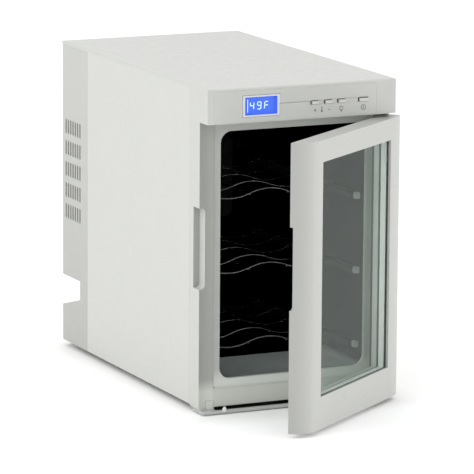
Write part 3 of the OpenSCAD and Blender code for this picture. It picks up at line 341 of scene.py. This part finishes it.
def door_shell(name):
    """Door plastic; its top and its rounded free end are greyer with painted shade."""
    mat = surface(name, DOOR_SHELL, 0.34, grain=1700.0, bump=0.15, mottle=0.012, wear=0.5,
                  wear_to=SHELL_WORN, coat=0.05)
    tree, shader, was = reopen(mat)
    # the door's own normals, so that the painted shade stays with it as it swings
    tc = tree.nodes.new("ShaderNodeTexCoord")
    dot = tree.nodes.new("ShaderNodeVectorMath")
    dot.operation = "DOT_PRODUCT"
    dot.inputs[1].default_value = (-math.cos(DOOR_TURN), -math.sin(DOOR_TURN), 0.0)
    tree.links.new(tc.outputs["Normal"], dot.inputs[0])
    free_end = remap(tree, dot.outputs["Value"], 0.25, 0.95, 0.0, 1.0)
    top = remap(tree, split_axes(tree, tc.outputs["Normal"])["Z"], 0.6, 0.9, 0.0, 0.8)
    either = calculate(tree, "MAXIMUM", free_end, top)
    tree.links.new(blend_colour(tree, either, was, DOOR_SHADE), shader.inputs["Base Color"])
    return mat


def board_green(name):
    """Solder mask over faint copper tracks."""
    mat, tree, shader, _ = fresh(name)
    even = coordinates(tree)
    tracks = tree.nodes.new("ShaderNodeTexBrick")
    tracks.inputs["Scale"].default_value = 160.0
    tracks.inputs["Mortar Size"].default_value = 0.04
    tracks.inputs["Color1"].default_value = (0.018, 0.16, 0.062, 1.0)
    tracks.inputs["Color2"].default_value = (0.022, 0.19, 0.075, 1.0)
    tracks.inputs["Mortar"].default_value = (0.05, 0.30, 0.13, 1.0)
    tree.links.new(front_plane(tree, split_axes(tree, even)), tracks.inputs["Vector"])
    tree.links.new(tracks.outputs["Color"], shader.inputs["Base Color"])
    add_relief(tree, shader, tracks.outputs["Fac"], 0.2, 0.00004)
    tree.links.new(remap(tree, noise(tree, even, 220.0), 0.3, 0.7, 0.22, 0.4),
                   shader.inputs["Roughness"])
    return mat


def digit_glow(name):
    """Pale blue light, slightly uneven along a bar."""
    mat, tree, shader, _ = fresh(name)
    flicker = noise(tree, coordinates(tree), 700.0)
    tone = blend_colour(tree, remap(tree, flicker, 0.3, 0.7, 0.0, 1.0),
                        (0.46, 0.64, 1.0), (0.56, 0.72, 1.0))
    tree.links.new(tone, shader.inputs["Base Color"])
    tree.links.new(tone, shader.inputs["Emission Color"])
    shader.inputs["Emission Strength"].default_value = 0.8
    tree.links.new(remap(tree, flicker, 0.3, 0.7, 0.3, 0.45), shader.inputs["Roughness"])
    return mat


LOOKS = {
    "shell": surface("shell_plastic", SHELL, 0.38, grain=1500.0, bump=0.18, mottle=0.012,
                     wear=0.5, wear_to=SHELL_WORN, coat=0.04),
    # painted shade: darker towards the bottom
    "cover": surface("cover_plastic", SHELL_DIM, 0.46, grain=1100.0, bump=0.3, mottle=0.018,
                     wear=0.4, wear_to=MATT_WORN, painted_shading_by_height=(0.03, 0.42, 0.88)),
    "door_shell": door_shell("door_plastic"),
    "frame": frame_shell("frame_plastic"),
    # painted light: lighter at its lower band
    "surround": surface("surround_plastic", (0.42, 0.429, 0.407), 0.45, grain=1000.0, bump=0.3,
                        mottle=0.02, wear=0.4, wear_to=(0.56, 0.56, 0.54),
                        painted_shading_by_height=(0.045, 0.062, 1.42)),
    "inner_frame": surface("inner_frame_plastic", (0.54, 0.545, 0.53), 0.5, grain=900.0, bump=0.3,
                           mottle=0.02),
    "sheet": surface("side_sheet_paint", (0.533, 0.540, 0.516), 0.42, grain=2200.0, bump=0.12,
                     depth=0.00003, mottle=0.012, wear=0.4, wear_to=SHELL_WORN,
                     coat=0.08, coat_rough=0.3),
    "zinc": surface("zinc_sheet", (0.56, 0.58, 0.60), 0.36, grain=140.0, bump=0.08, mottle=0.14,
                    blotch=60.0, metallic=1.0),
    "foam": surface("foam_block", (0.72, 0.62, 0.36), 0.9, grain=700.0, depth=0.0002, bump=0.8,
                    mottle=0.08, specular=0.2),
    "liner": cavity_black("liner_black"),
    "black": surface("black_plastic", (0.012, 0.012, 0.013), 0.45, grain=1200.0, bump=0.3,
                     mottle=0.15, specular=0.25),
    "cavity_black": surface("runner_black", (0.012, 0.0125, 0.0125), 0.5, grain=1200.0, bump=0.3,
                            mottle=0.15, specular=0.08),
    "cap": surface("cap_grey", (0.36, 0.375, 0.365), 0.45, grain=1100.0, bump=0.25, mottle=0.03),
    "chrome": surface("chromed_wire", (0.15, 0.153, 0.156), 0.24, grain=300.0, bump=0.05,
                      mottle=0.05, rough_spread=0.06, metallic=1.0),
    "clear": clear_sheet("clear_plastic", (0.95, 0.97, 0.98), 0.03, 0.02, 0.01),
    "glass": clear_sheet("door_glass", (0.93, 0.955, 0.94), 0.01, 0.03, 0.0125),
    "lcd": backlit("lcd_blue", (0.048, 0.132, 0.66), 0.68, 0.2, *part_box("display_panel")),
    "digit": digit_glow("digit_glow"),
    "bezel": surface("bezel_white", (0.66, 0.68, 0.71), 0.22, grain=2500.0, bump=0.06,
                     mottle=0.01, coat=0.2, coat_rough=0.1),
    "board": board_green("board_green"),
    "button": surface("button_plastic", (0.58, 0.587, 0.570), 0.22, grain=2400.0, bump=0.08,
                      mottle=0.01, coat=0.15, coat_rough=0.15, wear=0.3),
    "ink": surface("symbol_ink", (0.16, 0.165, 0.165), 0.6, grain=3000.0, bump=0.2, mottle=0.08,
                   specular=0.3),
    "spacer": surface("spacer_grey", (0.74, 0.75, 0.74), 0.5, grain=900.0, bump=0.2,
                      mottle=0.04, specular=0.4),
    "rubber": surface("seal_rubber", (0.022, 0.022, 0.022), 0.62, grain=900.0, bump=0.5,
                      depth=0.00008, mottle=0.2, specular=0.3, sheen=0.1),
    "gasket": surface("gasket_vinyl", (0.36, 0.365, 0.36), 0.5, grain=1300.0, bump=0.3,
                      mottle=0.04, specular=0.4, sheen=0.05),
    "acetal": surface("acetal_white", (0.68, 0.68, 0.66), 0.34, grain=1500.0, bump=0.15,
                      mottle=0.03),
    "steel": surface("turned_steel", (0.52, 0.53, 0.54), 0.28, grain=400.0, bump=0.15,
                     mottle=0.08, metallic=1.0, stretch=(1.0, 1.0, 8.0)),
    "rail": surface("rail_plastic", (0.43, 0.44, 0.43), 0.4, grain=1300.0, bump=0.2,
                    mottle=0.02, coat=0.05),
    "foot": surface("foot_rubber", (0.03, 0.03, 0.03), 0.72, grain=800.0, depth=0.0001, bump=0.6,
                    mottle=0.2, specular=0.25),
    "fin": surface("fin_aluminium", (0.70, 0.71, 0.72), 0.3, grain=500.0, bump=0.2, mottle=0.06,
                   metallic=1.0, stretch=(1.0, 1.0, 0.05)),
    "ceramic": surface("module_ceramic", (0.80, 0.79, 0.75), 0.55, grain=1800.0, bump=0.2,
                       mottle=0.03),
    "lamp_board": surface("lamp_board_white", (0.76, 0.76, 0.75), 0.35, grain=1800.0, bump=0.1,
                          mottle=0.03),
    "sensor": surface("sensor_plastic", (0.012, 0.012, 0.012), 0.5, grain=1500.0, bump=0.15,
                      mottle=0.1, specular=0.15),
    "brass": surface("brass_blade", (0.70, 0.52, 0.22), 0.25, grain=700.0, bump=0.1, mottle=0.08,
                     metallic=1.0),
}

NODE_LOOKS = {
    "shell": ["top_panel", "control_fascia"],
    "cover": ["rear_cover"],
    "door_shell": ["door_outer_frame"],
    "frame": ["front_frame", "base_pan"],
    "surround": ["mouth_surround", "hinge_hole_blank"],
    "inner_frame": ["door_inner_frame"],
    "sheet": ["left_side_panel", "right_side_panel"],
    "zinc": ["rear_bulkhead", "upper_hinge_bracket"],
    "foam": ["foam_insulation"],
    "liner": ["cavity_liner"],
    "cavity_black": ["rack_runners", "cold_fan_cover"],
    "black": ["tact_switches", "cold_fan_frame", "cold_fan_rotor", "hot_fan_frame",
              "hot_fan_rotor", "mains_inlet"],
    "cap": ["runner_end_caps"],
    "chrome": ["upper_rack", "middle_rack", "lower_rack"],
    "clear": ["display_window", "lamp_lens"],
    "glass": ["outer_pane", "inner_pane"],
    "lcd": ["display_panel"],
    "bezel": ["display_bezel"],
    "board": ["control_board", "power_board"],
    "button": ["temp_up_button", "temp_down_button", "light_button", "power_button"],
    "ink": ["button_symbols"],
    "spacer": ["pane_spacer"],
    "rubber": ["glazing_seal"],
    "gasket": ["door_gasket"],
    "acetal": ["door_bushings", "door_stop_peg"],
    "steel": ["upper_hinge_pin", "lower_hinge_pin", "rear_cover_screws"],
    "rail": ["lower_hinge_rail"],
    "foot": ["feet"],
    "fin": ["cold_sink", "cold_block", "hot_sink"],
    "ceramic": ["thermoelectric_module"],
    "lamp_board": ["lamp_board"],
    "sensor": ["temperature_sensor"],
    "brass": ["inlet_blades"],
}

# Width of the rounding along each node's sharp edges, in millimetres
ROUNDED = {
    "top_panel": 0.3, "control_fascia": 0.3, "front_frame": 0.4, "mouth_surround": 0.35,
    "door_outer_frame": 0.4, "door_inner_frame": 0.4, "left_side_panel": 0.3,
    "right_side_panel": 0.3, "rear_cover": 0.3, "display_bezel": 0.35, "temp_up_button": 0.25,
    "temp_down_button": 0.25, "light_button": 0.25, "power_button": 0.25,
    "runner_end_caps": 0.5, "lower_hinge_rail": 0.3, "hinge_hole_blank": 0.3,
    "rack_runners": 0.4, "cold_fan_cover": 0.4, "mains_inlet": 0.3,
}
# Angle under which faces shade as one, in degrees: for most nodes, and for the bent wires
PLAIN_ANGLE = 36.0
SMOOTH_ANGLE = {"upper_rack": 60.0, "middle_rack": 60.0, "lower_rack": 60.0}


def smooth_node(name):
    """Smooth shading that breaks at real edges, which are rounded where ROUNDED says so."""
    piece = NODES[name]
    if "custom_normal" in piece.data.attributes:
        piece.data.attributes.remove(piece.data.attributes["custom_normal"])
    piece.data.shade_smooth()
    weld = piece.modifiers.new("weld", "WELD")
    weld.merge_threshold = 1e-6
    if name in ROUNDED:
        soft = piece.modifiers.new("round", "BEVEL")
        soft.width = ROUNDED[name] * MM
        soft.segments = 2
        soft.limit_method = "ANGLE"
        soft.angle_limit = math.radians(50.0)
        soft.harden_normals = False
        soft.use_clamp_overlap = True
    crease = piece.modifiers.new("crease", "EDGE_SPLIT")
    crease.split_angle = math.radians(SMOOTH_ANGLE.get(name, PLAIN_ANGLE))
    crease.use_edge_sharp = False
    even = piece.modifiers.new("even", "WEIGHTED_NORMAL")
    even.weight = 50


def dress_nodes():
    """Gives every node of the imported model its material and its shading."""
    for look, names in NODE_LOOKS.items():
        for name in names:
            piece = NODES[name]
            if not piece.material_slots:
                piece.data.materials.append(LOOKS[look])
            for place in piece.material_slots:
                place.material = LOOKS[look]
            smooth_node(name)


# ---------------------------------------------------------------- new pieces

def finish_mesh(name, points, faces, look, body, smooth=True):
    """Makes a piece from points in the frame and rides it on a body."""
    mesh = bpy.data.meshes.new(name)
    mesh.from_pydata(points, [], faces)
    mesh.validate()
    mesh.update()
    piece = bpy.data.objects.new(name, mesh)
    bpy.context.collection.objects.link(piece)
    mesh.materials.append(LOOKS[look])
    if smooth:
        mesh.shade_smooth()
        mesh.set_sharp_from_angle(angle=math.radians(40.0))
    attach(piece, body)
    return piece


def lathe(centre, profile, sides=40):
    """Points and faces turned about +Z from (radius, height) pairs, closed at both ends."""
    points, faces = [], []
    for r, z in profile:
        for k in range(sides):
            a = 2 * math.pi * k / sides
            points.append((centre.x + r * math.cos(a), centre.y + r * math.sin(a), z))
    for i in range(len(profile) - 1):
        for k in range(sides):
            n = (k + 1) % sides
            faces.append((i * sides + k, i * sides + n, (i + 1) * sides + n, (i + 1) * sides + k))
    faces.append(tuple(range(sides))[::-1])
    faces.append(tuple((len(profile) - 1) * sides + k for k in range(sides)))
    return points, faces


def add_part(points, faces, part_points, part_faces):
    """Adds a part's points and faces to the lists of the whole piece."""
    shift = len(points)
    points.extend(part_points)
    faces.extend(tuple(shift + i for i in face) for face in part_faces)


def turned_feet():
    """Four rubber feet: a tapered side, a rounded sole edge and a grip groove."""
    low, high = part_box("feet")
    radius = foot_radius()
    top = high.z
    soften = 0.0014     # rounding of the sole's edge
    groove = 0.0007     # depth of the grip groove
    points, faces = [], []
    for x in (low.x + radius, high.x - radius):
        for y in (low.y + radius, high.y - radius):
            outline = [(radius * 0.45, low.z + soften * 0.6), (radius * 0.6, low.z)]
            for step in range(5):
                a = math.radians(22.5 * step)
                outline.append((radius * 0.93 - soften + soften * math.sin(a),
                                low.z + soften - soften * math.cos(a)))
            outline += [(radius * 0.95, top * 0.42), (radius * 0.95 - groove, top * 0.47),
                        (radius * 0.96 - groove, top * 0.53), (radius * 0.97, top * 0.58),
                        (radius, top - 0.0008), (radius - 0.0004, top)]
            add_part(points, faces, *lathe(Vector((x, y, 0.0)), outline))
    piece = finish_mesh("turned_feet", points, faces, "foot", "cabinet")
    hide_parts("feet")


def foot_radius():
    """Radius of a foot, from the stated mount of the four feet."""
    mount = next(m for m in frame["record"]["mounts"] if m["name"] == "feet")
    return mount["dims"]["stud_r_mm"] * MM


def door_swing():
    """The move from the shut door to the door as shown, about its hinge."""
    at = Vector(HINGE["pos_m"])
    return Matrix.Translation(at) @ Matrix.Rotation(DOOR_TURN, 4, "Z") @ Matrix.Translation(-at)


def shut_box(node):
    """A door node's box with the door shut."""
    back = door_swing().inverted()
    points = [back @ v.co for v in NODES[node].data.vertices]
    low = Vector([min(p[i] for p in points) for i in range(3)])
    high = Vector([max(p[i] for p in points) for i in range(3)])
    return low, high


def ring_path(low, high, inset, radius, steps=6):
    """Rounded rectangle in x and z, drawn in by inset, as a closed list of (x, z)."""
    path = []
    r = max(radius - inset, 0.0003)
    left, right = low.x + inset + r, high.x - inset - r
    foot, top = low.z + inset + r, high.z - inset - r
    for cx, cz, start in ((right, top, 0), (left, top, 90), (left, foot, 180), (right, foot, 270)):
        for k in range(steps + 1):
            a = math.radians(start + 90.0 * k / steps)
            path.append((cx + r * math.cos(a), cz + r * math.sin(a)))
    return path


def soft_gasket():
    """The door's vinyl seal: a seat strip, a folded bellows and a rounded magnet pocket."""
    low, high = shut_box("door_gasket")
    width = 0.0048      # across the strip
    corner = 0.0062     # outer radius of the ring's corners
    deep = high.y - low.y
    # (share of the width in from the outer edge, share of the depth from the seat), once round
    section = [(0.0, 0.0), (0.0, 0.34), (0.14, 0.42), (0.2, 0.5), (0.1, 0.57), (0.02, 0.64),
               (0.0, 0.74), (0.02, 0.86), (0.09, 0.95), (0.2, 1.0), (0.5, 0.985), (0.8, 1.0),
               (0.91, 0.95), (0.98, 0.86), (1.0, 0.74), (0.98, 0.64), (0.9, 0.57), (0.8, 0.5),
               (0.86, 0.42), (1.0, 0.34), (1.0, 0.0)]
    loops = [ring_path(low, high, u * width, corner) for u, _ in section]
    count = len(loops[0])
    swing = door_swing()
    points = [tuple(swing @ Vector((x, low.y + v * deep, z)))
              for loop, (_, v) in zip(loops, section) for x, z in loop]
    faces = []
    rows = len(section)
    for i in range(rows):
        j = (i + 1) % rows
        for k in range(count):
            n = (k + 1) % count
            faces.append((i * count + k, j * count + k, j * count + n, i * count + n))
    piece = finish_mesh("bellows_gasket", points, faces, "gasket", "door")
    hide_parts("door_gasket")


# Bars of a digit: a top, b upper right, c lower right, d foot, e lower left, f upper left,
# g middle
DIGITS = {"4": "bcfg", "9": "abcdfg", "F": "aefg"}


def digit_bar(x, z, base, run, upright, thick, lean, front, back):
    """One bar of a digit, z above base, as a six-sided prism with pointed ends."""
    h = thick / 2
    if upright:
        flat = [(0, 0), (h, h), (h, run - h), (0, run), (-h, run - h), (-h, h)]
    else:
        flat = [(0, 0), (h, h), (run - h, h), (run, 0), (run - h, -h), (h, -h)]
    ring = [(x + u + lean * (z + v), z + v + base) for u, v in flat]
    n = len(ring)
    points = [(u, front, v) for u, v in ring] + [(u, back, v) for u, v in ring]
    faces = [tuple(range(n)), tuple(range(2 * n - 1, n - 1, -1))]
    faces += [(k, k + n, (k + 1) % n + n, (k + 1) % n) for k in range(n)]
    return points, faces


def display_digits():
    """Lit digits between the display panel and its window, with a thin bar at the left."""
    low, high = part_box("display_panel")
    window_low, window_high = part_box("display_window")
    front = low.y - 0.0004
    back = low.y - 0.00005
    tall = (window_high.z - window_low.z) * 0.365
    wide = tall * 0.55
    step = wide * 2.02      # from one digit to the next
    base = (low.z + high.z) / 2 - tall / 2
    start = low.x + (high.x - low.x) * 0.205
    thick = tall * 0.125
    lean = 0.06
    half = tall / 2
    gap = thick * 0.08      # between the ends of two bars
    places = {"a": (0, tall, False), "g": (0, half, False), "d": (0, 0, False), "f": (0, half, True),
              "b": (wide, half, True), "e": (0, 0, True), "c": (wide, 0, True)}
    points, faces = [], []
    for i, sign in enumerate("49F"):
        for name in DIGITS[sign]:
            x, z, upright = places[name]
            run = (half if upright else wide) - 2 * gap
            x0 = start + i * step + x + (0 if upright else gap)
            z0 = z + (gap if upright else 0)
            add_part(points, faces,
                     *digit_bar(x0, z0, base, run, upright, thick, lean, front, back))
    bar_x = low.x + (high.x - low.x) * 0.135
    add_part(points, faces, *digit_bar(bar_x, 0, base - tall * 0.45, tall * 1.9, True, thick * 0.8,
                                       0.0, front, back))
    finish_mesh("display_digits", points, faces, "digit", "cabinet", smooth=False)


# ---------------------------------------------------------------- stage

def pale_floor(name):
    """Studio floor that glows faintly, with painted shadow: its glow fades out towards the cabinet, and it is
    painted dark under the cabinet.
    """
    mat = surface(name, (0.95, 0.95, 0.95), 0.85, grain=60.0, bump=0.02, mottle=0.004,
                  specular=0.1)
    tree, shader, was = reopen(mat)
    axes = split_axes(tree, coordinates(tree))
    low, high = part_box("top_panel")
    # metres outside the cabinet's footprint, negative under it
    away = []
    for axis, near, far in (("X", low.x, high.x), ("Y", low.y, high.y)):
        place = calculate(tree, "SUBTRACT", axes[axis], (near + far) / 2)
        place = calculate(tree, "ABSOLUTE", place, 0.0)
        away.append(calculate(tree, "SUBTRACT", place, (far - near) / 2))
    outside = calculate(tree, "MAXIMUM", *away)
    shader.inputs["Emission Color"].default_value = (*WHITE, 1.0)
    # painted shadow: the glow fades out within 5 cm of the cabinet's footprint
    tree.links.new(remap(tree, outside, 0.0, 0.05, 0.0, 0.11), shader.inputs["Emission Strength"])
    # painted shadow: dark grey under the cabinet
    under = remap(tree, outside, -0.035, -0.02, 0.0, 1.0)
    tree.links.new(blend_colour(tree, under, (0.12, 0.12, 0.12), was), shader.inputs["Base Color"])
    return mat


def area_light(name, at, size, watts):
    """A square white light of size metres, turned to the middle of the cabinet."""
    data = bpy.data.lights.new(name, "AREA")
    data.shape = "SQUARE"
    data.size = size
    data.energy = watts
    data.color = WHITE
    lamp = bpy.data.objects.new(name, data)
    bpy.context.collection.objects.link(lamp)
    lamp.location = at
    lamp.rotation_mode = "QUATERNION"
    lamp.rotation_quaternion = (LIGHTS_AIM - Vector(at)).to_track_quat("-Z", "Y")


def studio():
    """White surroundings, a pale floor and three large soft lights."""
    world = bpy.data.worlds.new("studio")
    bpy.context.scene.world = world
    world.use_nodes = True
    sky = world.node_tree.nodes["Background"]
    sky.inputs["Color"].default_value = (*WHITE, 1.0)
    sky.inputs["Strength"].default_value = 1.02
    bpy.context.scene.view_settings.view_transform = "Standard"
    bpy.context.scene.view_settings.look = "None"
    half = 14.0     # half the floor's width
    mesh = bpy.data.meshes.new("floor")
    mesh.from_pydata([(-half, -half, 0), (half, -half, 0), (half, half, 0), (-half, half, 0)], [],
                     [(0, 1, 2, 3)])
    floor = bpy.data.objects.new("floor", mesh)
    bpy.context.collection.objects.link(floor)
    mesh.materials.append(pale_floor("floor_pale"))
    area_light("key_left", (-2.2, -0.6, 2.2), 1.6, 22.0)
    area_light("fill_top", (0.3, 0.4, 2.8), 1.8, 5.0)
    area_light("fill_front", (0.6, -3.1, 1.0), 1.6, 2.5)


def camera():
    """The camera, from where it stands, what it looks at and its roll."""
    data = bpy.data.cameras.new("camera")
    data.sensor_fit = "HORIZONTAL"
    data.sensor_width = CAMERA_SENSOR
    data.lens = CAMERA_LENS
    data.clip_start = 0.1
    data.clip_end = 60.0
    eye = bpy.data.objects.new("camera", data)
    bpy.context.collection.objects.link(eye)
    ahead = (CAMERA_AIM - CAMERA_AT).normalized()
    right = ahead.cross(Vector((0, 0, 1))).normalized()
    up = right.cross(ahead)
    c, s = math.cos(CAMERA_ROLL), math.sin(CAMERA_ROLL)
    right, up = right * c + up * s, up * c - right * s
    turn = Matrix((right, up, -ahead)).transposed().to_4x4()
    eye.matrix_world = Matrix.Translation(CAMERA_AT) @ turn
    bpy.context.scene.camera = eye


dress_nodes()
turned_feet()
soft_gasket()
display_digits()
studio()
camera()
